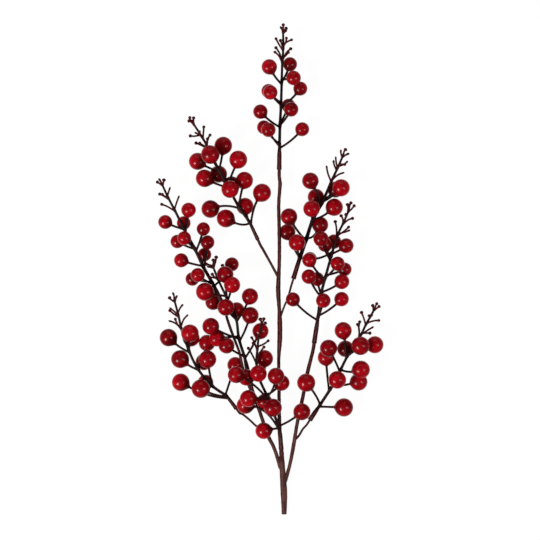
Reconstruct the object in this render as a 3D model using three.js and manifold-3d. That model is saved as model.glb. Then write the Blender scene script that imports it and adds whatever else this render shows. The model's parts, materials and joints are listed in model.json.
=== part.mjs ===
// An artificial red berry spray, laid down on a flat surface: nine moulded sprigs of round red
// berries on a brown taped wire stem with two long branches and six thin side wires.
// Millimetres, +Z up. The stem's cut foot points to -Y and the top sprig to +Y. The origin is on
// the surface, under the middle of the spray's length and width. Low berries and the foot touch it.
import * as THREE from 'three';
import { mergeVertices } from 'three/addons/utils/BufferGeometryUtils.js';
import Module from 'manifold-3d';

const wasm = await Module();
wasm.setup();

// Driving dimensions
const GAP = 0.3; // left between pieces that touch
const PIN_DIAMETER = 1.8; // bare wire, inside the main stem and in each sprig's socket
const TAPED = 2.8; // branches thicker than this are wrapped in tape
const PIN_DEPTH = 10; // how far a wire goes into a socket
const LEAD = 6; // straight end of a wire before it enters a socket
const SOCKET_DIAMETER = 4.7; // moulded socket at a sprig's foot, at its mouth
const SOCKET_NECK = 3.4; // the same socket where it becomes the twig
const TWIG_ROOT = 2.9; // twig diameter above its socket, where the sprig names no other
const TWIG_TIP = 1.9; // twig diameter at its last fork
const STALK_ROOT = 1.4; // stalk diameter at the twig
const STALK_TOP = 1.8; // and where it enters its berry
const STALK_SPACING = 2.2; // between stalks of one whorl, along the twig
const BUD_STALK = 1.1; // what carries one bud
const BUD_SPACING = 2.1; // between buds of one fork, along the twig
const BUD_DIAMETER = 2.6;
const BUD_LENGTH = 3.8;
const LOW = 'low'; // height of a berry that lies on the surface

// Colours and finishes
const BERRY_RED = { color: '#96000d', roughness: 0.2, metalness: 0 };
const TAPE_BROWN = { color: '#4a2a24', roughness: 0.7, metalness: 0 };
const WIRE_BROWN = { color: '#3a1512', roughness: 0.5, metalness: 0 };
const STEEL = { color: '#8d9096', roughness: 0.35, metalness: 1 };

// Each twig runs from its socket's mouth to its last fork, and its first point after the mouth is
// its lowest whorl. A root is the diameter of a thicker twig. A whorl or a fork names its twig
// point with `at`. A berry is x, y, z and diameter, then the bend of its stalk where that isn't
// the usual one. A bud is x, y and z.
const SPRIGS = [
  {
    name: 'top_sprig',
    twig: [
      [10.2, 98, 15.3], [10.5, 122, 15.2], [11, 143, 15.3], [12, 163, 15.5],
      [12.7, 186, 16], [13.3, 206, 16.5], [14.3, 220, 17], [14, 237, 17.5],
    ],
    whorls: [
      { at: 1, berries: [[33.2, 138.7, 15, 13.4], [-0.6, 137.7, 26.5, 13.8], [-5, 140.7, 12, 13.4]] },
      { at: 2, berries: [[-8.6, 156.2, 17, 13.8], [22, 158.2, 26, 14], [19.5, 162.5, LOW, 13.4]] },
      { at: 3, berries: [[31.3, 179.3, 15, 13.4], [1.3, 175, 27, 13.8], [-0.5, 177, 11.5, 13.6]] },
      { at: 4, berries: [[0.3, 200.8, 20, 14.8], [21, 204, LOW, 13.6], [24.5, 189.5, 25, 14]] },
    ],
    forks: [
      { at: 5, buds: [[6, 221.5, 16], [4.7, 216.5, 20], [23, 220, 19], [20, 217, 13]] },
      { at: 6, buds: [[6.3, 230.5, 17], [11, 228.5, 22], [17.5, 231, 21], [24, 228.5, 16]] },
      { at: 7, buds: [[11, 241.5, 17], [14.3, 244.5, 19], [17.8, 241, 16.5], [17.5, 238, 20.5]] },
    ],
  },
  {
    name: 'upper_left_sprig',
    twig: [
      [-11, 28, 16.2], [-19, 45, 16.5], [-30, 61, 17.5], [-42, 83, 18.5],
      [-50, 98, 18.5], [-61.5, 121, 18.5], [-66.5, 130.2, 18.5], [-75.5, 144, 18.5],
    ],
    whorls: [
      {
        at: 1,
        berries: [
          [-7, 75.2, 18, 17.6, [-16.5, 63, 17]],
          [-43.2, 49.5, 16, 17.4, [-27, 40, 16]],
          [-24, 61.7, LOW, 16.6],
        ],
      },
      {
        at: 2,
        berries: [
          [-58.7, 59, 11, 17.2, [-44, 65, 14]],
          [-24.5, 87.5, 20, 16.6, [-29, 72, 19]],
          [-38.8, 78.5, 29.5, 16.8],
        ],
      },
      {
        at: 3,
        berries: [
          [-64.3, 89.5, 19, 17, [-52, 83, 18.5]],
          [-30.7, 108.3, 18, 17.4, [-38, 92, 18]],
          [-50.5, 94, LOW, 16.6],
          [-37.4, 83.2, LOW, 16.6],
        ],
      },
      {
        at: 4,
        berries: [
          [-71.5, 106.7, 10.5, 16.6],
          [-45.7, 122.3, 16, 17.2, [-47, 108, 17.5]],
          [-58.5, 113, 29.5, 18],
        ],
      },
    ],
    forks: [
      { at: 5, buds: [[-74.5, 125.5, 16], [-70.5, 125.5, 21.5], [-61.3, 130.5, 21], [-58, 134.2, 17]] },
      { at: 6, buds: [[-70, 137.5, 21], [-65, 142.5, 18], [-74.5, 135.5, 21.5], [-80.3, 132.2, 17]] },
      { at: 7, buds: [[-79.5, 151.8, 18.5], [-75, 151.5, 19.5], [-81.5, 147.5, 18], [-78.5, 147.5, 20.5]] },
    ],
  },
  {
    name: 'far_left_sprig',
    root: 3.5,
    twig: [
      [-46, -37, 17.6], [-56, -16, 18], [-66, 2, 19], [-74, 19, 19.5],
      [-84.5, 38.5, 20], [-94, 57.5, 20.5], [-100.5, 70, 21], [-107, 84, 21],
    ],
    whorls: [
      { at: 1, berries: [[-37.2, 3.7, LOW, 13.4], [-71, -7, 27, 13.4], [-76.7, -11, 12, 13]] },
      { at: 2, berries: [[-61.5, 25.7, 15, 13.4], [-87.7, 7.7, 17, 13.6], [-64.5, 13.5, LOW, 13]] },
      { at: 3, berries: [[-65.5, 39, 22, 12.8], [-91.7, 26.5, 13, 13], [-84.5, 29.7, 28, 13.2]] },
      { at: 4, berries: [[-80.3, 58, 18, 14], [-103.7, 46, 14, 13.4], [-85.3, 45, 11.5, 13.2]] },
    ],
    forks: [
      { at: 5, buds: [[-108.7, 64.2, 19], [-89.5, 72.5, 20]] },
      { at: 6, buds: [[-110.7, 74.5, 19], [-107.5, 74.7, 23], [-98.5, 81, 21]] },
      { at: 7, buds: [[-112.8, 86.7, 20.5], [-110.3, 89.5, 22], [-104.5, 89.5, 21]] },
    ],
  },
  {
    name: 'mid_left_sprig',
    twig: [
      [-18, -117, 13.2], [-24.5, -89, 16.5], [-30, -70.5, 18], [-33, -50, 20],
      [-42, -30, 21.5], [-50.3, -12.5, 22], [-56.5, 3, 23],
    ],
    whorls: [
      { at: 1, berries: [[-8.5, -63, 17, 15.6, [-19, -84, 17]], [-42.3, -77.3, 30.5, 15.2]] },
      { at: 2, berries: [[-18.7, -47.2, 19, 16.2], [-58, -58, 29, 16.2], [-52, -70.5, 20.3, 15.2]] },
      {
        at: 3,
        berries: [
          [-19, -28.3, 22, 15.8],
          [-43, -39.2, 31, 16.2],
          [-32.3, -42, 11, 15],
          [-56, -34.3, 9, 14.8, [-41, -46, 10]],
        ],
      },
      { at: 4, berries: [[-36.7, -16.8, 36, 15.6], [-43.7, -6.4, 26, 16], [-63.8, -23.7, 29, 17.4]] },
    ],
    forks: [
      { at: 5, buds: [[-46.5, 4, 9], [-57.5, -5, 26], [-61, -9, 24.5]] },
      { at: 6, buds: [[-52.5, 12.5, 23.5], [-56, 9.5, 25], [-64, 4, 24], [-62, 1.5, 26]] },
    ],
  },
  {
    name: 'lower_left_sprig',
    twig: [
      [-32.5, -141, 8.6], [-42, -128.5, 11], [-57, -117.5, 16.5], [-71.2, -100.5, 18],
      [-80, -82.5, 19], [-87.5, -60.5, 19.5], [-90.5, -47, 20], [-94.5, -32, 20],
    ],
    whorls: [
      {
        at: 1,
        berries: [
          [-88.3, -114.3, 10, 17, [-63, -130, 9]],
          [-68, -120.3, 25, 18, [-55, -128, 15]],
          [-33.7, -97, LOW, 15.4, [-40, -116, 10]],
        ],
      },
      { at: 2, berries: [[-61.3, -91, 26, 17], [-63.5, -114.5, LOW, 15]] },
      {
        at: 3,
        berries: [[-88.8, -91, 16, 17.4], [-65.2, -94, LOW, 16], [-62, -75, LOW, 16, [-64, -88, 19]]],
      },
      { at: 4, berries: [[-100.4, -69.5, 15, 17], [-78.7, -65, 29, 17], [-78, -70, 11, 16.6]] },
    ],
    forks: [
      { at: 5, buds: [[-94, -49.5, 22], [-100.5, -52.5, 18.5], [-80.5, -46.3, 20]] },
      { at: 6, buds: [[-100.2, -41.3, 20], [-99.5, -39.5, 23], [-85.5, -36, 21]] },
      { at: 7, buds: [[-100.2, -28.3, 19.5], [-96.3, -24, 21], [-91.5, -27, 20]] },
    ],
  },
  {
    name: 'centre_sprig',
    twig: [
      [12.3, -182, 13.4], [10.7, -161, 16], [5, -146, 20], [-1.7, -128, 25.5], [-9.3, -111, 25],
      [-12.5, -95, 25], [-11.5, -80.5, 26.5], [-10.5, -71, 27.5], [-7, -55, 28.5],
    ],
    whorls: [
      {
        at: 1,
        berries: [
          [-23.5, -137, 14.5, 16.8, [-1, -137, 24]],
          [3.8, -139, 33.5, 17.4],
          [-5.3, -162.5, 18.5, 16],
          [32.8, -143.5, 20, 16.4],
        ],
      },
      {
        at: 3,
        berries: [
          [-32.7, -106.2, 38, 16, [-17, -111, 40]],
          [-20.5, -130, 29.8, 16.4],
          [7, -107.5, 36.5, 16, [5, -123, 29]],
          [12.5, -114.5, 23.2, 15.4, [4, -125, 22]],
          [-4.5, -133.5, 16, 15],
        ],
      },
      {
        at: 4,
        berries: [
          [-4.5, -90.5, 14, 16.6, [-3, -106, 18]],
          [-10.5, -105, 35.2, 16],
          [-22.7, -109, 25.2, 16],
        ],
      },
    ],
    forks: [
      { at: 5, buds: [[-21.5, -78.5, 27], [-4, -77.5, 26]] },
      { at: 6, buds: [[-18, -68, 28], [-17, -74, 31], [0.5, -71.5, 27]] },
      { at: 8, buds: [[-9.5, -49.5, 28], [-5, -49, 29.5], [-2.5, -53.5, 28.5]] },
    ],
  },
  {
    name: 'upper_right_sprig',
    root: 4.2,
    twig: [
      [24.3, -11, 15.5], [30.5, 9, 15.8], [37.3, 29, 16.5], [43.5, 47.5, 17.5],
      [53, 65, 18], [62.5, 87, 18.5], [68.8, 100.5, 19], [74, 112.5, 19.5],
    ],
    whorls: [
      { at: 1, berries: [[27.8, 25.3, 27, 16], [18.4, 36, LOW, 15.6]] },
      { at: 2, berries: [[20, 51.3, 21, 16], [51.1, 43.2, 10.5, 15.8, [45, 28, 15]]] },
      { at: 3, berries: [[42.4, 59, 28, 16], [65.2, 60.7, 15, 16.8, [54, 50, 19]]] },
      {
        at: 4,
        berries: [
          [41.3, 87, 22, 16, [49, 75, 20]],
          [47, 71, LOW, 16],
          [72, 80, 24, 16.6],
          [66.5, 78.5, LOW, 15.4],
        ],
      },
    ],
    forks: [
      { at: 5, buds: [[57.3, 102.5, 19], [75.5, 95.5, 19.5]] },
      { at: 6, buds: [[64.3, 108, 20], [66.5, 111.5, 22.5], [79, 107, 19], [77, 103, 22]] },
      { at: 7, buds: [[71.8, 118.5, 19.5], [77.5, 119.5, 21], [80.5, 114.5, 19]] },
    ],
  },
  {
    name: 'mid_right_sprig',
    root: 3.3,
    twig: [
      [45.1, -75.4, 12.5], [48.9, -50, 13.5], [52, -26.3, 15.5], [56.3, -9.4, 17],
      [62.3, 12.3, 18.5], [68.2, 32.3, 19.5], [74.2, 45, 20], [79.6, 57.4, 20.5],
    ],
    whorls: [
      { at: 1, berries: [[23.8, -31.3, 22, 13.6], [54.1, -32.5, 24, 14], [72.6, -31.1, 10, 14]] },
      { at: 2, berries: [[39.7, -8.6, 24, 14], [48.2, -11, 9, 13.4], [72.8, -13.6, 17, 14.4]] },
      { at: 3, berries: [[40.3, 7.9, 20.5, 13.8], [68.5, 4.3, 24, 13.6], [75.8, -1.3, 10, 13]] },
      {
        at: 4,
        berries: [
          [51.8, 29, 31, 14.6],
          [56, 23.3, 17.5, 13.8],
          [65, 26.4, LOW, 14],
          [77.1, 22.3, 17, 14.2],
          [41, 9.5, LOW, 12.6, [52, 8, 9]],
        ],
      },
    ],
    forks: [
      { at: 5, buds: [[65.8, 48, 20], [80.7, 42, 19], [81.3, 38, 22]] },
      { at: 6, buds: [[85, 50, 20], [71, 53.5, 20], [76.5, 55, 23]] },
      { at: 7, buds: [[78, 65, 20], [82.5, 66.5, 22], [86, 63.5, 20]] },
    ],
  },
  {
    name: 'lower_right_sprig',
    root: 3.2,
    twig: [
      [40.7, -152.4, 8.5], [50.5, -137.7, 10.5], [61.3, -120.9, 14], [71.1, -102.5, 16.5],
      [78.7, -87.3, 18], [91.2, -67.8, 19], [97.1, -55.9, 19.5], [101.5, -48, 20], [105.3, -41, 20],
    ],
    whorls: [
      {
        at: 1,
        berries: [
          [74.9, -139.4, 12, 17.8, [62, -139, 11]],
          [37.1, -114.4, 22, 17.6, [48, -127, 16]],
        ],
      },
      {
        at: 2,
        berries: [[57, -89.5, LOW, 16, [58, -107, 11]], [68, -111.5, 26, 17], [89.7, -113.9, LOW, 17]],
      },
      {
        at: 3,
        berries: [[59.4, -80, 25, 16.6, [67, -94, 21]], [91.7, -101.4, 21.5, 17.4, [81, -106, 18]]],
      },
      {
        at: 4,
        berries: [
          [74, -62.4, 22, 16.6, [76.5, -76, 20]],
          [76.5, -80.8, LOW, 16],
          [91.2, -77.6, 28, 17.8],
          [105.8, -76.7, 14, 16.6],
        ],
      },
    ],
    forks: [
      { at: 5, buds: [[87.9, -54.8, 18], [90.8, -52.1, 22], [104.7, -58.4, 21], [102.5, -65.1, 18]] },
      { at: 6, buds: [[91.7, -42.8, 20], [111.2, -52.3, 20]] },
      { at: 7, buds: [[98.5, -47, 21.5], [103.6, -46.6, 22]] },
      { at: 8, buds: [[103, -35.8, 20], [108.5, -34.2, 21], [111.2, -37.4, 19.5]] },
    ],
  },
];

// The main stem's route, foot first: x, y, z and the diameter over the tape.
const MAIN_STEM = [
  [15.1, -246.8, 2.6, 5.2], [14.9, -223, 4.1, 6.8], [13.2, -198, 6.5, 5.7], [12.2, -182, 8.4, 4.2],
  [10.7, -165, 10.4, 4.4], [10.4, -147, 12, 3.9], [10, -122, 13.2, 3.7], [9.7, -92, 14.2, 3.5],
  [10.9, -70, 14.8, 5.2], [10.8, -55, 15, 5.2], [10.2, -42, 15.2, 4], [9.2, -22, 15.4, 4.9],
  [10.3, 3, 15.5, 3.8], [10.2, 36, 15.5, 3.9], [9.8, 63, 15.4, 3.8], [11, 85, 15.3, 3.9],
];

// Branches and side wires, each from the stem it grows out of to the sprig it carries.
const BRANCHES = [
  {
    name: 'left_branch', from: 'main_stem', to: 'mid_left_sprig', diameter: 3.9,
    route: [[11.8, -201, 6.3], [5, -180, 7.5], [-1, -168, 8], [-6, -153.5, 8.4], [-10.5, -140, 9.2]],
  },
  {
    name: 'right_branch', from: 'main_stem', to: 'mid_right_sprig', diameter: 3.8,
    route: [
      [15.8, -215, 4.8], [20.6, -198, 5.6], [23.9, -181.7, 6.6], [28.2, -155.6, 8.4],
      [34.2, -127.4, 9.9], [38.5, -104.7, 11],
    ],
  },
  {
    name: 'upper_left_branch', from: 'main_stem', to: 'upper_left_sprig', diameter: 2.7,
    route: [[9.4, -9.5, 15.5], [1, 6, 15.8], [-6, 18.5, 16]],
  },
  {
    name: 'far_left_wire', from: 'left_branch', to: 'far_left_sprig', diameter: 2.8,
    route: [
      [-13.8, -131, 10], [-21.1, -116, 9.9], [-26.9, -97, 14.6], [-29.4, -85, 15.3],
      [-33, -75, 15.4], [-38, -62, 16], [-42.5, -48, 16.9],
    ],
  },
  {
    name: 'lower_left_wire', from: 'left_branch', to: 'lower_left_sprig', diameter: 2.3,
    route: [[-3.6, -164, 8.1], [-13, -158, 7.4], [-19.5, -152, 7.1], [-27.5, -145.8, 7.7]],
  },
  {
    name: 'lower_right_wire', from: 'right_branch', to: 'lower_right_sprig', diameter: 2.3,
    route: [[26, -172, 7.2], [29.8, -168, 7.3], [34, -161, 7.6]],
  },
  {
    name: 'upper_right_wire', from: 'main_stem', to: 'upper_right_sprig', diameter: 2.1,
    route: [[10.8, -51, 15.1], [14.6, -40, 15.2], [18.9, -29.5, 15.3]],
  },
  {
    name: 'centre_wire', from: 'main_stem', to: 'centre_sprig', diameter: 2.4,
    route: [[12.7, -196, 6.6], [12.7, -190.5, 10.8]],
  },
];

// How finely curves are cut
const STEM_SIDES = 8;
const WIRE_SIDES = 6;
const TWIG_SIDES = 4;
const STALK_SIDES = 3;
const BUD_SIDES = 3;
const STALK_STEPS = 2;
const STEM_STEP = 18; // length of one straight piece of a stem
const TWIG_STEP = 20;
const BERRY_SWELL = 1.05; // corner radius over mean radius, on a berry of 60 faces

const at = ([x, y, z]) => new THREE.Vector3(x, y, z);
const toY = new THREE.Vector3(0, 1, 0);

// The corner radius of a regular polygon with the area of a circle of radius 1.
const polygonSwell = (sides) => Math.sqrt((2 * Math.PI) / (sides * Math.sin((2 * Math.PI) / sides)));

// The geometry with one corner where several share a place.
function merged(geometry) {
  const bare = new THREE.BufferGeometry().setAttribute('position', geometry.getAttribute('position'));
  bare.setIndex(geometry.index);
  return mergeVertices(bare, 1e-4);
}

// A closed three.js geometry as a solid. Triangles with no area, as at a lathe's poles, go.
function solid(geometry) {
  const closed = merged(geometry);
  const corners = closed.index.array;
  const kept = [];
  for (let i = 0; i < corners.length; i += 3) {
    const [a, b, c] = corners.slice(i, i + 3);
    if (a !== b && b !== c && c !== a) kept.push(a, b, c);
  }
  return new wasm.Manifold(new wasm.Mesh({
    numProp: 3,
    vertProperties: closed.getAttribute('position').array,
    triVerts: new Uint32Array(kept),
  }));
}

const join = (solids) => solids.reduce((whole, next) => whole.add(next));

// A round bar along a curve through the points. diameterAt(u) gives its diameter at the share u of
// the points, from 0 at the first to 1 at the last. Its first end goes on straight by early.
function bar(points, diameterAt, sides, steps, early = 0) {
  const path = new THREE.CatmullRomCurve3(points, false, 'centripetal');
  const corners = Array.from({ length: sides }, (_, i) => {
    const angle = (2 * Math.PI * (i + 0.5)) / sides;
    return new THREE.Vector2(Math.cos(angle), Math.sin(angle));
  });
  const geometry = new THREE.ExtrudeGeometry(new THREE.Shape(corners), {
    steps, extrudePath: path, bevelEnabled: false,
  });
  const centres = path.getSpacedPoints(steps);
  const swell = polygonSwell(sides) / 2;
  const radii = centres.map((_, i) => diameterAt(path.getUtoTmapping(i / steps)) * swell);
  const start = path.getTangent(0).multiplyScalar(-early);
  const place = geometry.getAttribute('position');
  const corner = new THREE.Vector3();
  for (let i = 0; i < place.count; i += 1) {
    corner.fromBufferAttribute(place, i);
    const ring = centres.reduce(
      (near, centre, k) => (corner.distanceTo(centre) < corner.distanceTo(centres[near]) ? k : near), 0);
    corner.sub(centres[ring]).multiplyScalar(radii[ring]).add(centres[ring]);
    if (ring === 0) corner.add(start);
    place.setXYZ(i, corner.x, corner.y, corner.z);
  }
  return solid(geometry);
}

// A straight round bar or cone frustum between two points.
function rod(from, to, fromDiameter, toDiameter, sides) {
  const along = to.clone().sub(from);
  const swell = polygonSwell(sides) / 2;
  const length = along.length();
  const geometry = new THREE.CylinderGeometry(toDiameter * swell, fromDiameter * swell, length, sides);
  geometry.translate(0, length / 2, 0);
  geometry.applyQuaternion(new THREE.Quaternion().setFromUnitVectors(toY, along.normalize()));
  return solid(geometry.translate(from.x, from.y, from.z));
}

// A ball of 60 like triangles. Each corner of an icosahedron is joined to the middles of the faces
// round it. A middle's mirror image in the plane through an edge is the next face's middle.
function ball() {
  const place = new THREE.IcosahedronGeometry(1, 0).getAttribute('position');
  const corners = [];
  for (let face = 0; face < place.count; face += 3) {
    const [a, b, c] = [0, 1, 2].map((k) => new THREE.Vector3().fromBufferAttribute(place, face + k));
    const middle = a.clone().add(b).add(c).normalize();
    for (const [from, to] of [[a, b], [b, c], [c, a]]) {
      const plane = from.clone().cross(to).normalize();
      const next = middle.clone().reflect(plane);
      corners.push(...from, ...next, ...middle);
    }
  }
  const faces = Array.from({ length: corners.length / 3 }, (_, i) => i);
  return merged(new THREE.PolyhedronGeometry(corners, faces, BERRY_SWELL, 0));
}

// A berry of radius 1, and how high its centre is where it lies on the surface.
const BERRY = ball();
BERRY.computeBoundingBox();
const LOW_CENTRE = -BERRY.boundingBox.min.z;
const berryCentre = ([x, y, z, diameter]) => at([x, y, z === LOW ? (LOW_CENTRE * diameter) / 2 : z]);

function berry(centre, diameter) {
  const geometry = BERRY.clone().scale(diameter / 2, diameter / 2, diameter / 2);
  return solid(geometry.translate(centre.x, centre.y, centre.z));
}

// A stalk leaves the whorl mostly sideways and turns up to its berry, which it enters.
function stalk(whorl, centre, radius, bend) {
  const reach = centre.clone().sub(whorl);
  const turn = bend
    ? at(bend)
    : whorl.clone().add(new THREE.Vector3(reach.x * 0.55, reach.y * 0.35, reach.z * 0.5));
  const curve = new THREE.QuadraticBezierCurve3(whorl, turn, centre);
  const end = curve.getPointAt(1 - (radius * 0.6) / curve.getLength());
  const width = (u) => THREE.MathUtils.lerp(STALK_ROOT, STALK_TOP, u);
  return bar([whorl, curve.getPoint(0.45), end], width, STALK_SIDES, STALK_STEPS);
}

// A bud is a thin stalk that swells to a knob, turned round its own axis.
function bud(root, tip) {
  const along = tip.clone().sub(root);
  const length = along.length();
  const swell = polygonSwell(BUD_SIDES) / 2;
  const profile = [
    [0, 0], [BUD_STALK * swell, 0], [BUD_DIAMETER * swell, length - BUD_LENGTH * 0.4], [0, length],
  ].map(([r, y]) => new THREE.Vector2(r, y));
  const geometry = new THREE.LatheGeometry(profile, BUD_SIDES);
  geometry.applyQuaternion(new THREE.Quaternion().setFromUnitVectors(toY, along.normalize()));
  return solid(geometry.translate(root.x, root.y, root.z));
}

// The place on a twig that lies the given length above its nth point, or below it.
function rootOn(points, n, above) {
  const away = above > 0 && n < points.length - 1 ? points[n + 1] : points[n - 1];
  const along = away.clone().sub(points[n]).normalize();
  return points[n].clone().addScaledVector(along, Math.abs(above));
}

// Where a sprig's socket opens, and the direction from there into it.
function socketOf(sprig) {
  const mouth = at(sprig.twig[0]);
  return { mouth, inward: at(sprig.twig[1]).sub(mouth).normalize() };
}

function sprigSolid(sprig) {
  const points = sprig.twig.map(at);
  const { mouth, inward } = socketOf(sprig);
  const lowest = points[1].clone().addScaledVector(inward, 1);
  const outside = rod(mouth, lowest, SOCKET_DIAMETER, SOCKET_NECK, WIRE_SIDES);
  const bore = rod(
    mouth.clone().addScaledVector(inward, -1),
    mouth.clone().addScaledVector(inward, PIN_DEPTH + GAP),
    PIN_DIAMETER + 2 * GAP, PIN_DIAMETER + 2 * GAP, WIRE_SIDES);
  const twigPoints = points.slice(1);
  const twigLength = new THREE.CatmullRomCurve3(twigPoints, false, 'centripetal').getLength();
  const root = sprig.root ?? TWIG_ROOT;
  const twigWidth = (u) => THREE.MathUtils.lerp(root, TWIG_TIP, u);
  const pieces = [outside, bar(twigPoints, twigWidth, TWIG_SIDES, Math.round(twigLength / TWIG_STEP))];
  for (const whorl of sprig.whorls) {
    whorl.berries.forEach((spec, i) => {
      const centre = berryCentre(spec);
      const foot = rootOn(points, whorl.at, (i - (whorl.berries.length - 1) / 2) * STALK_SPACING);
      pieces.push(stalk(foot, centre, spec[3] / 2, spec[4]), berry(centre, spec[3]));
    });
  }
  for (const fork of sprig.forks) {
    fork.buds.forEach((tip, i) => {
      const foot = rootOn(points, fork.at, (i - (fork.buds.length - 1) / 2) * BUD_SPACING);
      pieces.push(bud(foot, at(tip)));
    });
  }
  return join(pieces).subtract(bore);
}

// A stem's bar, made thicker all round by grow.
function stemBar(route, grow, sides, early) {
  const points = route.map(at);
  const length = new THREE.CatmullRomCurve3(points, false, 'centripetal').getLength();
  const width = (u) => {
    const place = u * (route.length - 1);
    const before = Math.min(Math.floor(place), route.length - 2);
    return THREE.MathUtils.lerp(route[before][3], route[before + 1][3], place - before) + 2 * grow;
  };
  return bar(points, width, sides, Math.round(length / STEM_STEP), early);
}

// A route with a straight end that stops at the given length past the socket's mouth.
function routeInto(route, sprig, past = -GAP) {
  const { mouth, inward } = socketOf(sprig);
  const diameter = route[route.length - 1][3];
  const ends = [-LEAD, past].map((length) => mouth.clone().addScaledVector(inward, length));
  return [...route, ...ends.map((point) => [...point, diameter])];
}

// The bare end of a wire, from inside its last straight piece to the depth it has in the socket.
function pinInto(sprig) {
  const { mouth, inward } = socketOf(sprig);
  return rod(
    mouth.clone().addScaledVector(inward, -LEAD / 2), mouth.clone().addScaledVector(inward, PIN_DEPTH),
    PIN_DIAMETER, PIN_DIAMETER, WIRE_SIDES);
}

const sprigByName = Object.fromEntries(SPRIGS.map((sprig) => [sprig.name, sprig]));
const TOP_SPRIG = sprigByName.top_sprig;

const group = new THREE.Group();

// Adds a named mesh whose own origin is the given point.
function addMesh(name, body, origin, finish) {
  const { vertProperties, triVerts } = body.getMesh();
  const geometry = new THREE.BufferGeometry();
  geometry.setAttribute('position', new THREE.BufferAttribute(vertProperties, 3));
  geometry.setIndex(new THREE.BufferAttribute(triVerts, 1));
  geometry.translate(-origin.x, -origin.y, -origin.z);
  geometry.computeVertexNormals();
  const mesh = new THREE.Mesh(geometry, new THREE.MeshStandardMaterial(finish));
  mesh.name = name;
  mesh.position.copy(origin);
  group.add(mesh);
}

// The main stem is a tape tube round its core wire, which goes on into the top sprig's socket. The
// bore is longer than the tube at both ends, so that it comes out.
const mainRoute = routeInto(MAIN_STEM, TOP_SPRIG);
const coreRoute = routeInto(MAIN_STEM.map(([x, y, z]) => [x, y, z, PIN_DIAMETER]), TOP_SPRIG, PIN_DEPTH);
const foot = at(mainRoute[0]);
const bore = stemBar(coreRoute, GAP, WIRE_SIDES, 2);
addMesh('main_stem', stemBar(mainRoute, 0, STEM_SIDES).subtract(bore), foot, TAPE_BROWN);
addMesh('stem_core_wire', stemBar(coreRoute, 0, WIRE_SIDES), foot, STEEL);

// Each branch starts at the surface of the stem it grows out of.
const routes = { main_stem: mainRoute };
for (const { name, from, to, diameter, route } of BRANCHES) {
  const sprig = sprigByName[to];
  const ends = route.map((point) => [...point, diameter]);
  routes[name] = routeInto(ends, sprig);
  const whole = diameter > PIN_DIAMETER
    ? stemBar(routes[name], 0, STEM_SIDES).add(pinInto(sprig))
    : stemBar(routeInto(ends, sprig, PIN_DEPTH), 0, WIRE_SIDES);
  const finish = diameter > TAPED ? TAPE_BROWN : WIRE_BROWN;
  addMesh(name, whole.subtract(stemBar(routes[from], GAP, STEM_SIDES)), at(sprig.twig[0]), finish);
}

for (const sprig of SPRIGS) {
  addMesh(sprig.name, sprigSolid(sprig), at(sprig.twig[0]), BERRY_RED);
}

export default group;
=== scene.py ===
"""Looks of an artificial red berry spray that lies on a pale surface.

Nine moulded sprigs of glossy berries sit on a brown taped wire stem. Each piece is built at its
real size round the fixed frame, in metres, +Z up, with the stem's cut foot towards -Y.
"""

import json
import math
import random

import bmesh
import bpy
from mathutils import Matrix, Vector
from mathutils.geometry import interpolate_bezier


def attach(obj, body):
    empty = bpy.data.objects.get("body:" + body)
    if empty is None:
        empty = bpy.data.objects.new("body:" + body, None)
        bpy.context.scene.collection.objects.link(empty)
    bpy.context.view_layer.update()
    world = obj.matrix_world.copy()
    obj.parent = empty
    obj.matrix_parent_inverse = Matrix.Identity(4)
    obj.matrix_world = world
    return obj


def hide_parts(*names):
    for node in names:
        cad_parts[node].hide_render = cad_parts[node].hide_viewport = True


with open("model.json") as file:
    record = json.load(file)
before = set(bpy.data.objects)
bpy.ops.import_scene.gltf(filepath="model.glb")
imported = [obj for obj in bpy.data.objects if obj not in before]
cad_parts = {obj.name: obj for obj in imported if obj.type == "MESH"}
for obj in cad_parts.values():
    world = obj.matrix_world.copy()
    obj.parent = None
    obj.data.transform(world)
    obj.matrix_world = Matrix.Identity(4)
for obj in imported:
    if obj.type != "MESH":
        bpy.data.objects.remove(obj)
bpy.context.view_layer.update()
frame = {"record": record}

bl_info = {
    "name": "Red berry spray",
    "version": (1, 0, 0),
    "blender": (4, 5, 0),
    "location": "View3D > Sidebar > Spray",
    "description": "Builds a spray of glossy red berries on taped wire stems",
    "category": "Object",
}

BODY = "root"
MM = 0.001
SEED = 11

# All lengths from here to the stage are in millimetres.
# The bare end of a wire is a pin that sits in a socket. The gap is the play round it, the lead is
# the straight part of the stem before it, and the tuck is the room between stem and socket.
PIN_RADIUS = 0.9
PIN_DEPTH = 10
GAP = 0.3
BORE_RADIUS = PIN_RADIUS + GAP
LEAD = 6
TUCK = 0.05
# How far apart the stalks of a whorl and the buds of a fork leave their twig.
STALK_SPACING = 2.2
BUD_SPACING = 2.1
# Branches thicker than this are taped, and the tape climbs this far in a turn.
TAPED = 2.8
TAPE_PITCH = 9.0
# How thick the lacquer is on a berry.
LACQUER = 0.4
# Stands for the height of a berry that rests on the surface.
LOW = "low"
# How many sides each kind of round shape has.
SIDES = {"stem": 28, "core": 16, "branch": 20, "twig": 16, "stalk": 10, "bud": 12, "berry": 30}

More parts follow.
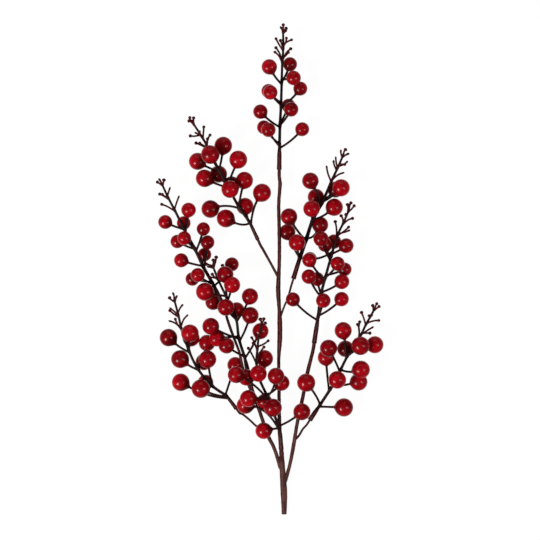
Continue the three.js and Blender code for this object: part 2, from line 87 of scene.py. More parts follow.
# Each twig runs from its socket's mouth to its last fork, and its first point after the mouth is
# its lowest whorl. Whorls and forks are listed by the number of their twig point. A berry is x, y,
# z and diameter, then the bend of its stalk where that isn't the usual one. A bud is x, y and z.
# Some sprigs have a mouth or a twig root of their own diameter, or their own share of slim buds.
SPRIGS = [
    {
        "name": "top_sprig", "mouth": 4.9,
        "twig": [
            (10.2, 98, 15.3), (10.5, 122, 15.2), (11, 143, 15.3), (12, 163, 15.5), (12.7, 186, 16),
            (13.3, 206, 16.5), (14.3, 220, 17), (14, 237, 17.5),
        ],
        "whorls": {
            1: [(33.2, 138.7, 15, 13.4), (-0.6, 137.7, 26.5, 13.8), (-5, 140.7, 12, 13.4)],
            2: [(-8.6, 156.2, 17, 13.8), (22, 158.2, 26, 14), (19.5, 162.5, LOW, 13.4)],
            3: [(31.3, 179.3, 15, 13.4), (1.3, 175, 27, 13.8), (-0.5, 177, 11.5, 13.6)],
            4: [(0.3, 200.8, 20, 14.8), (21, 204, LOW, 13.6), (24.5, 189.5, 25, 14)],
        },
        "forks": {
            5: [(6, 221.5, 16), (4.7, 216.5, 20), (23, 220, 19), (20, 217, 13)],
            6: [(6.3, 230.5, 17), (11, 228.5, 22), (17.5, 231, 21), (24, 228.5, 16)],
            7: [(11, 241.5, 17), (14.3, 244.5, 19), (17.8, 241, 16.5), (17.5, 238, 20.5)],
        },
    },
    {
        "name": "upper_left_sprig", "mouth": 4.0,
        "twig": [
            (-11, 28, 16.2), (-19, 45, 16.5), (-30, 61, 17.5), (-42, 83, 18.5), (-50, 98, 18.5),
            (-61.5, 121, 18.5), (-66.5, 130.2, 18.5), (-75.5, 144, 18.5),
        ],
        "whorls": {
            1: [
                (-7, 75.2, 18, 17.6, (-16.5, 63, 17)), (-43.2, 49.5, 16, 17.4, (-27, 40, 16)),
                (-24, 61.7, LOW, 16.6),
            ],
            2: [
                (-58.7, 59, 11, 17.2, (-44, 65, 14)), (-24.5, 87.5, 20, 16.6, (-29, 72, 19)),
                (-38.8, 78.5, 29.5, 16.8),
            ],
            3: [
                (-64.3, 89.5, 19, 17, (-52, 83, 18.5)), (-30.7, 108.3, 18, 17.4, (-38, 92, 18)),
                (-50.5, 94, LOW, 16.6), (-37.4, 83.2, LOW, 16.6),
            ],
            4: [
                (-71.5, 106.7, 10.5, 16.6), (-45.7, 122.3, 16, 17.2, (-47, 108, 17.5)),
                (-58.5, 113, 29.5, 18),
            ],
        },
        "forks": {
            5: [(-74.5, 125.5, 16), (-70.5, 125.5, 21.5), (-61.3, 130.5, 21), (-58, 134.2, 17)],
            6: [(-70, 137.5, 21), (-65, 142.5, 18), (-74.5, 135.5, 21.5), (-80.3, 132.2, 17)],
            7: [(-79.5, 151.8, 18.5), (-75, 151.5, 19.5), (-81.5, 147.5, 18), (-78.5, 147.5, 20.5)],
        },
    },
    {
        "name": "far_left_sprig", "root": 3.5, "slim": 0.4,
        "twig": [
            (-46, -37, 17.6), (-56, -16, 18), (-66, 2, 19), (-74, 19, 19.5), (-84.5, 38.5, 20),
            (-94, 57.5, 20.5), (-100.5, 70, 21), (-107, 84, 21),
        ],
        "whorls": {
            1: [(-37.2, 3.7, LOW, 13.4), (-71, -7, 27, 13.4), (-76.7, -11, 12, 13)],
            2: [(-61.5, 25.7, 15, 13.4), (-87.7, 7.7, 17, 13.6), (-64.5, 13.5, LOW, 13)],
            3: [(-65.5, 39, 22, 12.8), (-91.7, 26.5, 13, 13), (-84.5, 29.7, 28, 13.2)],
            4: [(-80.3, 58, 18, 14), (-103.7, 46, 14, 13.4), (-85.3, 45, 11.5, 13.2)],
        },
        "forks": {
            5: [(-108.7, 64.2, 19), (-89.5, 72.5, 20)],
            6: [(-110.7, 74.5, 19), (-107.5, 74.7, 23), (-98.5, 81, 21)],
            7: [(-112.8, 86.7, 20.5), (-110.3, 89.5, 22), (-104.5, 89.5, 21)],
        },
    },
    {
        "name": "mid_left_sprig",
        "twig": [
            (-18, -117, 13.2), (-24.5, -89, 16.5), (-30, -70.5, 18), (-33, -50, 20), (-42, -30, 21.5),
            (-50.3, -12.5, 22), (-56.5, 3, 23),
        ],
        "whorls": {
            1: [(-8.5, -63, 17, 15.6, (-19, -84, 17)), (-42.3, -77.3, 30.5, 15.2)],
            2: [(-18.7, -47.2, 19, 16.2), (-58, -58, 29, 16.2), (-52, -70.5, 20.3, 15.2)],
            3: [
                (-19, -28.3, 22, 15.8), (-43, -39.2, 31, 16.2), (-32.3, -42, 11, 15),
                (-56, -34.3, 9, 14.8, (-41, -46, 10)),
            ],
            4: [(-36.7, -16.8, 36, 15.6), (-43.7, -6.4, 26, 16), (-63.8, -23.7, 29, 17.4)],
        },
        "forks": {
            5: [(-46.5, 4, 9), (-57.5, -5, 26), (-61, -9, 24.5)],
            6: [(-52.5, 12.5, 23.5), (-56, 9.5, 25), (-64, 4, 24), (-62, 1.5, 26)],
        },
    },
    {
        "name": "lower_left_sprig", "mouth": 4.1, "slim": 0.5,
        "twig": [
            (-32.5, -141, 8.6), (-42, -128.5, 11), (-57, -117.5, 16.5), (-71.2, -100.5, 18),
            (-80, -82.5, 19), (-87.5, -60.5, 19.5), (-90.5, -47, 20), (-94.5, -32, 20),
        ],
        "whorls": {
            1: [
                (-88.3, -114.3, 10, 17, (-63, -130, 9)), (-68, -120.3, 25, 18, (-55, -128, 15)),
                (-33.7, -97, LOW, 15.4, (-40, -116, 10)),
            ],
            2: [(-61.3, -91, 26, 17), (-63.5, -114.5, LOW, 15)],
            3: [(-88.8, -91, 16, 17.4), (-65.2, -94, LOW, 16), (-62, -75, LOW, 16, (-64, -88, 19))],
            4: [(-100.4, -69.5, 15, 17), (-78.7, -65, 29, 17), (-78, -70, 11, 16.6)],
        },
        "forks": {
            5: [(-94, -49.5, 22), (-100.5, -52.5, 18.5), (-80.5, -46.3, 20)],
            6: [(-100.2, -41.3, 20), (-99.5, -39.5, 23), (-85.5, -36, 21)],
            7: [(-100.2, -28.3, 19.5), (-96.3, -24, 21), (-91.5, -27, 20)],
        },
    },
    {
        "name": "centre_sprig",
        "twig": [
            (12.3, -182, 13.4), (10.7, -161, 16), (5, -146, 20), (-1.7, -128, 25.5), (-9.3, -111, 25),
            (-12.5, -95, 25), (-11.5, -80.5, 26.5), (-10.5, -71, 27.5), (-7, -55, 28.5),
        ],
        "whorls": {
            1: [
                (-23.5, -137, 14.5, 16.8, (-1, -137, 24)), (3.8, -139, 33.5, 17.4),
                (-5.3, -162.5, 18.5, 16), (32.8, -143.5, 20, 16.4),
            ],
            3: [
                (-32.7, -106.2, 38, 16, (-17, -111, 40)), (-20.5, -130, 29.8, 16.4),
                (7, -107.5, 36.5, 16, (5, -123, 29)), (12.5, -114.5, 23.2, 15.4, (4, -125, 22)),
                (-4.5, -133.5, 16, 15),
            ],
            4: [
                (-4.5, -90.5, 14, 16.6, (-3, -106, 18)), (-10.5, -105, 35.2, 16),
                (-22.7, -109, 25.2, 16),
            ],
        },
        "forks": {
            5: [(-21.5, -78.5, 27), (-4, -77.5, 26)],
            6: [(-18, -68, 28), (-17, -74, 31), (0.5, -71.5, 27)],
            8: [(-9.5, -49.5, 28), (-5, -49, 29.5), (-2.5, -53.5, 28.5)],
        },
    },
    {
        "name": "upper_right_sprig", "root": 4.2, "slim": 0.8,
        "twig": [
            (24.3, -11, 15.5), (30.5, 9, 15.8), (37.3, 29, 16.5), (43.5, 47.5, 17.5), (53, 65, 18),
            (62.5, 87, 18.5), (68.8, 100.5, 19), (74, 112.5, 19.5),
        ],
        "whorls": {
            1: [(27.8, 25.3, 27, 16), (18.4, 36, LOW, 15.6)],
            2: [(20, 51.3, 21, 16), (51.1, 43.2, 10.5, 15.8, (45, 28, 15))],
            3: [(42.4, 59, 28, 16), (65.2, 60.7, 15, 16.8, (54, 50, 19))],
            4: [
                (41.3, 87, 22, 16, (49, 75, 20)), (47, 71, LOW, 16), (72, 80, 24, 16.6),
                (66.5, 78.5, LOW, 15.4),
            ],
        },
        "forks": {
            5: [(57.3, 102.5, 19), (75.5, 95.5, 19.5)],
            6: [(64.3, 108, 20), (66.5, 111.5, 22.5), (79, 107, 19), (77, 103, 22)],
            7: [(71.8, 118.5, 19.5), (77.5, 119.5, 21), (80.5, 114.5, 19)],
        },
    },
    {
        "name": "mid_right_sprig", "root": 3.3,
        "twig": [
            (45.1, -75.4, 12.5), (48.9, -50, 13.5), (52, -26.3, 15.5), (56.3, -9.4, 17),
            (62.3, 12.3, 18.5), (68.2, 32.3, 19.5), (74.2, 45, 20), (79.6, 57.4, 20.5),
        ],
        "whorls": {
            1: [(23.8, -31.3, 22, 13.6), (54.1, -32.5, 24, 14), (72.6, -31.1, 10, 14)],
            2: [(39.7, -8.6, 24, 14), (48.2, -11, 9, 13.4), (72.8, -13.6, 17, 14.4)],
            3: [(40.3, 7.9, 20.5, 13.8), (68.5, 4.3, 24, 13.6), (75.8, -1.3, 10, 13)],
            4: [
                (51.8, 29, 31, 14.6), (56, 23.3, 17.5, 13.8), (65, 26.4, LOW, 14),
                (77.1, 22.3, 17, 14.2), (41, 9.5, LOW, 12.6, (52, 8, 9)),
            ],
        },
        "forks": {
            5: [(65.8, 48, 20), (80.7, 42, 19), (81.3, 38, 22)],
            6: [(85, 50, 20), (71, 53.5, 20), (76.5, 55, 23)],
            7: [(78, 65, 20), (82.5, 66.5, 22), (86, 63.5, 20)],
        },
    },
    {
        "name": "lower_right_sprig", "root": 3.2,
        "twig": [
            (40.7, -152.4, 8.5), (50.5, -137.7, 10.5), (61.3, -120.9, 14), (71.1, -102.5, 16.5),
            (78.7, -87.3, 18), (91.2, -67.8, 19), (97.1, -55.9, 19.5), (101.5, -48, 20),
            (105.3, -41, 20),
        ],
        "whorls": {
            1: [(74.9, -139.4, 12, 17.8, (62, -139, 11)), (37.1, -114.4, 22, 17.6, (48, -127, 16))],
            2: [(57, -89.5, LOW, 16, (58, -107, 11)), (68, -111.5, 26, 17), (89.7, -113.9, LOW, 17)],
            3: [(59.4, -80, 25, 16.6, (67, -94, 21)), (91.7, -101.4, 21.5, 17.4, (81, -106, 18))],
            4: [
                (74, -62.4, 22, 16.6, (76.5, -76, 20)), (76.5, -80.8, LOW, 16), (91.2, -77.6, 28, 17.8),
                (105.8, -76.7, 14, 16.6),
            ],
        },
        "forks": {
            5: [(87.9, -54.8, 18), (90.8, -52.1, 22), (104.7, -58.4, 21), (102.5, -65.1, 18)],
            6: [(91.7, -42.8, 20), (111.2, -52.3, 20)],
            7: [(98.5, -47, 21.5), (103.6, -46.6, 22)],
            8: [(103, -35.8, 20), (108.5, -34.2, 21), (111.2, -37.4, 19.5)],
        },
    },
]

# The main stem's route, foot first: x, y, z and the diameter over the tape.
MAIN_STEM = [
    (15.1, -246.8, 2.6, 5.2), (14.9, -223, 4.1, 6.8), (13.2, -198, 6.5, 5.7), (12.2, -182, 8.4, 4.2),
    (10.7, -165, 10.4, 4.4), (10.4, -147, 12, 3.9), (10, -122, 13.2, 3.7), (9.7, -92, 14.2, 3.5),
    (10.9, -70, 14.8, 5.2), (10.8, -55, 15, 5.2), (10.2, -42, 15.2, 4), (9.2, -22, 15.4, 4.9),
    (10.3, 3, 15.5, 3.8), (10.2, 36, 15.5, 3.9), (9.8, 63, 15.4, 3.8), (11, 85, 15.3, 3.9),
]

# Branches and side wires, each from inside the stem it grows out of to the sprig it carries.
BRANCHES = [
    {
        "name": "left_branch", "to": "mid_left_sprig", "diameter": 3.9,
        "route": [
            (11.8, -201, 6.3), (5, -180, 7.5), (-1, -168, 8), (-6, -153.5, 8.4), (-10.5, -140, 9.2),
        ],
    },
    {
        "name": "right_branch", "to": "mid_right_sprig", "diameter": 3.8,
        "route": [
            (15.8, -215, 4.8), (20.6, -198, 5.6), (23.9, -181.7, 6.6), (28.2, -155.6, 8.4),
            (34.2, -127.4, 9.9), (38.5, -104.7, 11),
        ],
    },
    {
        "name": "upper_left_branch", "to": "upper_left_sprig", "diameter": 2.7,
        "route": [(9.4, -9.5, 15.5), (1, 6, 15.8), (-6, 18.5, 16)],
    },
    {
        "name": "far_left_wire", "to": "far_left_sprig", "diameter": 2.8,
        "route": [
            (-13.8, -131, 10), (-21.1, -116, 9.9), (-26.9, -97, 14.6), (-29.4, -85, 15.3),
            (-33, -75, 15.4), (-38, -62, 16), (-42.5, -48, 16.9),
        ],
    },
    {
        "name": "lower_left_wire", "to": "lower_left_sprig", "diameter": 2.3,
        "route": [(-3.6, -164, 8.1), (-13, -158, 7.4), (-19.5, -152, 7.1), (-27.5, -145.8, 7.7)],
    },
    {
        "name": "lower_right_wire", "to": "lower_right_sprig", "diameter": 2.3,
        "route": [(26, -172, 7.2), (29.8, -168, 7.3), (34, -161, 7.6)],
    },
    {
        "name": "upper_right_wire", "to": "upper_right_sprig", "diameter": 2.1,
        "route": [(10.8, -51, 15.1), (14.6, -40, 15.2), (18.9, -29.5, 15.3)],
    },
    {
        "name": "centre_wire", "to": "centre_sprig", "diameter": 2.4,
        "route": [(12.7, -196, 6.6), (12.7, -190.5, 10.8)],
    },
]

# Where a strip of tape ends on the main stem: how far up the stem, and how much thinner it is above.
TAPE_ENDS = [(64, 0.25), (284, 0.12), (333, 0.15)]


def slot_colour(slot):
    """The frame's own colour for a material slot."""
    for material in frame["record"]["materials"]:
        if material["slot"] == slot:
            return tuple(material["base_color"])
    raise ValueError(f"the frame has no material slot {slot}")


def length_setting(name, description, usual, least, most):
    """A setting for a length, given in millimetres."""
    return bpy.props.FloatProperty(
        name=name, description=description, default=usual * MM, min=least * MM, max=most * MM,
        unit="LENGTH")


def colour_setting(name, description, usual):
    """A setting for a colour."""
    return bpy.props.FloatVectorProperty(
        name=name, description=description, subtype="COLOR", default=usual, min=0, max=1)


class SpraySizes(bpy.types.PropertyGroup):
    """Sizes of the parts that are the same all over the spray."""
    socket: length_setting("Socket", "Diameter of a socket at its mouth", 5.0, 3.8, 5.6)
    twig_root: length_setting("Twig foot", "Diameter of a twig above its socket", 3.1, 1.5, 3.8)
    twig_tip: length_setting("Twig tip", "Diameter of a twig at its last fork", 2.2, 0.8, 2.8)
    stalk_root: length_setting("Stalk foot", "Diameter of a stalk at the twig", 2.2, 0.6, 2.8)
    stalk_top: length_setting("Stalk top", "Diameter of a stalk at its berry", 2.4, 0.8, 2.8)
    bud: length_setting("Bud", "Diameter of a bud's knob", 3.3, 1.0, 4.0)
    ridge: length_setting("Tape ridge", "How far a turn of tape stands over the next", 0.14, 0, 0.4)


class SprayColours(bpy.types.PropertyGroup):
    """Main colours of the finishes."""
    berry: colour_setting("Berry", "Lacquer on the berries", (0.290, 0.0003, 0.0042))
    twig: colour_setting("Twig", "Moulded twigs and stalks", (0.024, 0.003, 0.004))
    tape: colour_setting("Tape", "Tape on the thick stems", slot_colour("stem_tape"))
    wire: colour_setting("Wire", "Coating of the thin wires", slot_colour("branch_coating"))
    steel: colour_setting("Steel", "Bare wire in the stem", slot_colour("core_steel"))
    flank: colour_setting("Flank", "Red along the flanks of the stems", (0.070, 0.0008, 0.003))
    floor: colour_setting("Floor", "Surface that the spray lies on", (0.9, 0.9, 0.9))


class Path:
    """A smooth curve through points in millimetres, cut short and looked up by length."""

    STEP = 1.0

    def __init__(self, points):
        points = [Vector(point) for point in points]
        ends = [2 * points[0] - points[1], *points, 2 * points[-1] - points[-2]]
        self.places = [points[0]]
        self.marks = [0]
        for before, start, end, after in zip(ends, points, points[1:], ends[3:]):
            first, second = self.handles(before, start, end, after)
            count = max(3, math.ceil((end - start).length / self.STEP) + 1)
            self.places += interpolate_bezier(start, first, second, end, count)[1:]
            self.marks.append(len(self.places) - 1)
        self.lengths = [0.0]
        for here, there in zip(self.places, self.places[1:]):
            self.lengths.append(self.lengths[-1] + (there - here).length)
        self.length = self.lengths[-1]
        self.frames = self.turned()

    @staticmethod
    def handles(before, start, end, after):
        """The two handles that lead a smooth curve from start to end, between its neighbours."""
        a = math.sqrt((start - before).length)
        b = math.sqrt((end - start).length)
        c = math.sqrt((after - end).length)
        near = 2 * a * a + 3 * a * b + b * b
        far = 2 * c * c + 3 * c * b + b * b
        first = (a * a * end - b * b * before + near * start) / (3 * a * (a + b))
        second = (c * c * start - b * b * after + far * end) / (3 * c * (b + c))
        return first, second

    def turned(self):
        """A heading and a side direction at each place, with no needless turn between them."""
        last = len(self.places) - 1
        headings = []
        for i in range(last + 1):
            step = self.places[min(i + 1, last)] - self.places[max(i - 1, 0)]
            headings.append(step.normalized())
        side = headings[0].cross(Vector((0, 0, 1)))
        side = side.normalized() if side.length > 0.1 else Vector((1, 0, 0))
        frames = []
        for i, heading in enumerate(headings):
            if i:
                side = headings[i - 1].rotation_difference(heading) @ side
            side = (side - heading * side.dot(heading)).normalized()
            frames.append((heading, side))
        return frames

    def mark(self, n):
        """How far along the path its nth point lies."""
        return self.lengths[self.marks[n]]

    def look(self, distance):
        """The place, heading and side direction at a distance, also beyond both ends."""
        inside = min(max(distance, 0), self.length)
        i = 1
        while i < len(self.lengths) - 1 and self.lengths[i] < inside:
            i += 1
        share = (inside - self.lengths[i - 1]) / (self.lengths[i] - self.lengths[i - 1])
        heading = self.frames[i - 1][0].lerp(self.frames[i][0], share).normalized()
        side = self.frames[i - 1][1].lerp(self.frames[i][1], share)
        side = (side - heading * side.dot(heading)).normalized()
        place = self.places[i - 1].lerp(self.places[i], share)
        return place + heading * (distance - inside), heading, side


def closed(shape):
    """Closes a shape's seams and poles and turns its faces outwards."""
    bmesh.ops.remove_doubles(shape, verts=shape.verts, dist=1e-6)
    bmesh.ops.dissolve_degenerate(shape, edges=shape.edges, dist=1e-7)
    bmesh.ops.recalc_face_normals(shape, faces=shape.faces)
    return shape


def sweep(path, rings, sides, relief=None):
    """A closed skin round a path. A ring is its distance along the path and its radius, in
    millimetres, and the first and last rings are points. relief(turn, distance) is added to the
    radius. The UV map holds the turn from 0 to 1 and the distance in metres."""
    shape = bmesh.new()
    uv = shape.loops.layers.uv.new("UVMap")
    last = len(rings) - 1
    bmesh.ops.create_grid(shape, x_segments=sides, y_segments=last, size=0.5)
    where = {}
    for vert in shape.verts:
        where[vert] = (vert.co.x + 0.5, round((vert.co.y + 0.5) * last))
    for face in shape.faces:
        for corner in face.loops:
            turn, ring = where[corner.vert]
            corner[uv].uv = (turn, rings[ring][0] * MM)
    frames = [path.look(distance) for distance, _ in rings]
    for vert, (turn, ring) in where.items():
        place, heading, side = frames[ring]
        distance, radius = rings[ring]
        if relief and radius:
            radius += relief(turn, distance)
        angle = 2 * math.pi * (turn % 1)
        across = side * math.cos(angle) + heading.cross(side) * math.sin(angle)
        vert.co = (place + across * radius) * MM
    return closed(shape)


def steps(start, end, step):
    """Distances from start to end, about a step apart, both ends included."""
    count = max(1, math.ceil((end - start) / step))
    return [start + (end - start) * i / count for i in range(count + 1)]


def smooth(share):
    """0 below 0, 1 above 1 and a soft rise between."""
    share = min(max(share, 0), 1)
    return share * share * (3 - 2 * share)


def swelling(distance, centre, width):
    """1 at the centre, falling off to both sides."""
    return math.exp(-(((distance - centre) / width) ** 2))


class Piece:
    """One named piece, gathered from closed shapes that are made one by one."""

    def __init__(self, name):
        self.name = name
        self.whole = bmesh.new()

    def add(self, shape, **marks):
        """Adds a shape. A mark is a number that its finish reads at each vertex."""
        for mark, number in marks.items():
            layer = shape.verts.layers.float.get(mark) or shape.verts.layers.float.new(mark)
            for vert in shape.verts:
                vert[layer] = number
        loose = bpy.data.meshes.new("loose")
        shape.to_mesh(loose)
        shape.free()
        self.whole.from_mesh(loose)
        bpy.data.meshes.remove(loose)

    def finish(self, node, slot, material, crease=60):
        """Makes the object, which rides on the frame and stands for a node of it."""
        mesh = bpy.data.meshes.new(self.name)
        self.whole.to_mesh(mesh)
        self.whole.free()
        mesh.shade_smooth()
        mesh.set_sharp_from_angle(angle=math.radians(crease))
        mesh.materials.append(material)
        piece = bpy.data.objects.new(self.name, mesh)
        bpy.context.scene.collection.objects.link(piece)
        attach(piece, BODY)
        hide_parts(node)
        return piece


class Value:
    """A number or a vector that changes over a surface, for finishes written as expressions."""

    def __init__(self, finish, socket):
        self.finish = finish
        self.socket = socket

    def maths(self, operation, first, second=0.0):
        return self.finish.node("ShaderNodeMath", {"operation": operation}, {0: first, 1: second})

    def __add__(self, other):
        return self.maths("ADD", self, other)

    __radd__ = __add__

    def __sub__(self, other):
        return self.maths("SUBTRACT", self, other)

    def __rsub__(self, other):
        return self.maths("SUBTRACT", other, self)

    def __mul__(self, other):
        return self.maths("MULTIPLY", self, other)

    def __mod__(self, other):
        return self.maths("FLOORED_MODULO", self, other)

    def __abs__(self):
        return self.maths("ABSOLUTE", self)

    def cosine(self):
        return self.maths("COSINE", self)


class Finish:
    """A material that is put together node by node."""

    def __init__(self, name, **fixed):
        self.material = bpy.data.materials.new(name)
        self.material.use_nodes = True
        self.tree = self.material.node_tree
        self.shader = self.tree.nodes["Principled BSDF"]
        for socket, number in fixed.items():
            self.shader.inputs[socket.replace("_", " ")].default_value = number

    def put(self, socket, source):
        """Links a value to a socket, or sets a number or a colour on it."""
        if isinstance(source, Value):
            self.tree.links.new(source.socket, socket)
        elif isinstance(source, (tuple, list)) and socket.type == "RGBA" and len(source) == 3:
            socket.default_value = (*source, 1)
        else:
            socket.default_value = source

    def node(self, kind, settings=None, inputs=None, output=0):
        """Adds a node: its settings first, then the values or links of its sockets."""
        node = self.tree.nodes.new(kind)
        for setting, choice in (settings or {}).items():
            setattr(node, setting, choice)
        named = {socket.identifier: socket for socket in node.inputs}
        for key, source in (inputs or {}).items():
            socket = named[key] if key in named else node.inputs[key]
            self.put(socket, source)
        given = {socket.identifier: socket for socket in node.outputs}
        return Value(self, given[output] if output in given else node.outputs[output])

    def place(self):
        """Object coordinates, in metres."""
        return self.node("ShaderNodeTexCoord", output="Object")

    def around(self, turns, lengths):
        """The piece's own map, with the turn and the length stretched by numbers."""
        uv = self.node("ShaderNodeUVMap", {"uv_map": "UVMap"})
        return self.node(
            "ShaderNodeMapping", inputs={"Vector": uv, "Scale": (turns, lengths, 1)})

    def along(self):
        """The turn round a stem and the length along it, in metres, from the piece's own map."""
        uv = self.node("ShaderNodeUVMap", {"uv_map": "UVMap"})
        turn = self.node("ShaderNodeSeparateXYZ", inputs={"Vector": uv}, output="X")
        return turn, Value(self, turn.socket.node.outputs["Y"])

    def mark(self, name):
        """A number kept on the piece's vertices."""
        return self.node("ShaderNodeAttribute", {"attribute_name": name}, output="Fac")

    def noise(self, vector, scale, detail=2.0, roughness=0.5):
        """A soft uneven value round 0.5, finer the larger its scale."""
        return self.node(
            "ShaderNodeTexNoise",
            inputs={"Vector": vector, "Scale": scale, "Detail": detail, "Roughness": roughness},
            output="Fac")

    def step(self, value, low, high, start=0.0, end=1.0):
        """A soft rise from start to end while the value goes from low to high."""
        return self.node(
            "ShaderNodeMapRange", {"interpolation_type": "SMOOTHSTEP"},
            {"Value": value, "From Min": low, "From Max": high, "To Min": start, "To Max": end})

    def mix(self, share, first, second):
        """A colour between two colours."""
        return self.node(
            "ShaderNodeMix", {"data_type": "RGBA"},
            {"Factor_Float": share, "A_Color": first, "B_Color": second}, "Result_Color")

    def shades(self, share, colour, low, high, warmer=0.0):
        """A colour between a dark and a light shade of it, the light one a little browner."""
        return self.mix(share, shade(colour, low), shade(colour, high, warmer))

    def bump(self, height, distance, strength):
        """Fine relief of a height, up to a distance in metres."""
        return self.node(
            "ShaderNodeBump",
            inputs={"Height": height, "Distance": distance, "Strength": strength})

    def wear(self, **sockets):
        """Links what changes over the surface to the shader."""
        for socket, source in sockets.items():
            self.put(self.shader.inputs[socket.replace("_", " ")], source)
        return self.material


def shade(colour, times, warmer=0.0):
    """A colour made lighter or darker, and a little browner."""
    red, green, blue = colour
    return (red * times, green * times + warmer, blue * times + warmer * 0.6)


def berry_lacquer(colour):
    """Dark red gloss lacquer, a little uneven from berry to berry, with painted glow in bright patches,
    and darker round each neck, partly its own colour and partly painted shade.
    """
    lacquer = Finish("berry_lacquer", Coat_Roughness=0.12, IOR=1.42, Specular_IOR_Level=0.3)
    place = lacquer.place()
    cloud = lacquer.noise(place, 150, 3, 0.6)
    mottle = lacquer.noise(place, 420, 4, 0.65)
    ripple = lacquer.noise(place, 1300, 2)
    tint = lacquer.mark("tint")
    neck = lacquer.mark("neck")
    bright = tint * 0.6 + lacquer.step(cloud, 0.35, 0.65) * 0.45
    red = lacquer.shades(bright, colour, 0.55, 1.9)
    # Painted glow: brighter red patches on some berries stand for light shining through the lacquer.
    glow = lacquer.step(cloud, 0.56, 0.7) * tint
    red = lacquer.mix(glow * 0.5, red, shade(colour, 2.8))
    red = lacquer.mix(lacquer.step(mottle, 0.5, 0.68, 0, 0.6), red, shade(colour, 0.45))
    # Painted shade, partly the lacquer's own darker colour: the mark "neck" darkens each berry round
    # its stalk, most where the stalk leaves towards +X, away from the lights.
    red = lacquer.mix(neck * 0.97, red, shade(colour, 0.05))
    return lacquer.wear(
        Base_Color=red,
        Roughness=0.2 + mottle * 0.12,
        Coat_Weight=0.25 - neck * 0.22,
        Normal=lacquer.bump(ripple * 0.5 + mottle * 0.5, 0.05 * MM, 0.22))


def two_tone(stem, turn, streak):
    """1 in a narrow stripe along the top and underside of a stem and 0 along its flanks. The stripe is
    painted sheen of the lights above, drawn the same on the underside.
    """
    flank = abs((turn * (2 * math.pi)).cosine())
    return stem.step(flank + streak * 0.5, 0.46, 0.7, 1, 0)


def moulded_twig(colour, berry, tape, flank):
    """Dark moulded plastic with lengthwise streaks, browner on the sockets and redder on buds. On the
    sockets a brown stripe along the top and underside is painted sheen of the lights above, with dark
    red flanks.
    """
    plastic = Finish("moulded_twig", IOR=1.45, Specular_IOR_Level=0.22)
    streak = plastic.noise(plastic.around(9, 260), 1, 3, 0.6)
    grain = plastic.noise(plastic.place(), 1400, 3, 0.6)
    line = plastic.step(streak, 0.35, 0.65)
    dark = plastic.shades(line, colour, 0.25, 1.6, 0.001)
    brown = plastic.shades(line, tape, 0.6, 1.8, 0.003)
    turn, _ = plastic.along()
    # Painted sheen: a brown stripe along the top and underside of the socket, dark red along its
    # flanks.
    brown = plastic.mix(two_tone(plastic, turn, streak), shade(flank, 0.9), brown)
    dark = plastic.mix(plastic.mark("brown"), dark, brown)
    return plastic.wear(
        Base_Color=plastic.mix(plastic.mark("red"), dark, shade(berry, 0.6)),
        Roughness=0.36 + grain * 0.25,
        Normal=plastic.bump(streak * 0.8 + grain * 0.2, 0.12 * MM, 0.45))


def wound_tape(colour, flank):
    """Matt crinkled floral tape, wound in a slow spiral, dark red along its flanks and brown in a
    stripe along its top and underside. The brown stripe is painted sheen of the lights above.
    """
    tape = Finish("wound_tape", IOR=1.45, Specular_IOR_Level=0.2)
    turn, length = tape.along()
    winding = (turn + length * (1 / (TAPE_PITCH * MM))) % 1.0
    edge = tape.step(winding, 0.0, 0.1, 1, 0) + tape.step(winding, 0.93, 1.0)
    streak = tape.noise(tape.around(12, 80), 1, 4, 0.65)
    crinkle = tape.noise(tape.around(26, 900), 1, 3, 0.6)
    dust = tape.noise(tape.place(), 300, 3)
    line = tape.step(streak, 0.35, 0.65)
    brown = tape.shades(line, colour, 0.8, 2.1, 0.004)
    brown = tape.mix(tape.step(dust, 0.5, 0.75, 0, 0.5), brown, shade(colour, 2.5, 0.01))
    red = tape.shades(line, flank, 0.5, 1.7)
    # Painted sheen: the brown stripe along the top and underside of the stem, dark red along its
    # flanks.
    stripe = two_tone(tape, turn, streak)
    # Near the foot the stem is brown all round, with no red flanks.
    covered = tape.step(length, 0.05, 0.075, 1, 0)
    shown = tape.mix(stripe + covered * (1 - stripe), red, brown)
    shown = tape.mix(edge * 0.4, shown, shade(flank, 0.3))
    return tape.wear(
        Base_Color=shown,
        Roughness=0.46 + streak * 0.2,
        Normal=tape.bump(crinkle * 0.45 + streak * 0.8 - edge * 0.4, 0.22 * MM, 0.8))


def wire_coating(colour, flank):
    """Thin coating over twisted wire, with lengthwise lines, dark red along its flanks and a lighter
    brown stripe along its top and underside that is painted sheen of the lights above.
    """
    coat = Finish("wire_coating", IOR=1.48, Specular_IOR_Level=0.22)
    turn, _ = coat.along()
    streak = coat.noise(coat.around(7, 130), 1, 3, 0.6)
    grain = coat.noise(coat.place(), 1100, 3, 0.6)
    line = coat.step(streak, 0.35, 0.65)
    brown = coat.shades(line, colour, 0.8, 2.4, 0.02)
    red = coat.shades(line, flank, 0.4, 1.6)
    return coat.wear(
        # Painted sheen: brown along the top and underside of the wire, red along its flanks.
        Base_Color=coat.mix(two_tone(coat, turn, streak), red, brown),
        Roughness=0.38 + grain * 0.22,
        Normal=coat.bump(streak * 0.8 + grain * 0.2, 0.15 * MM, 0.7))


def drawn_steel(colour):
    """Bare steel wire with fine lines along it."""
    steel = Finish("drawn_steel", Metallic=1.0)
    line = steel.noise(steel.around(40, 60), 1, 3, 0.7)
    return steel.wear(
        Base_Color=steel.shades(line, colour, 0.6, 1.5),
        Roughness=0.25 + line * 0.25,
        Normal=steel.bump(line, 0.04 * MM, 0.5))


def white_surface(name, colour, glow):
    """Smooth white board that glows, as on a light table."""
    board = Finish(name, Roughness=0.9, Emission_Color=(1, 1, 1, 1), Emission_Strength=glow)
    speck = board.noise(board.place(), 40, 2)
    board.wear(Base_Color=board.shades(speck, colour, 0.07, 0.08))
    return board


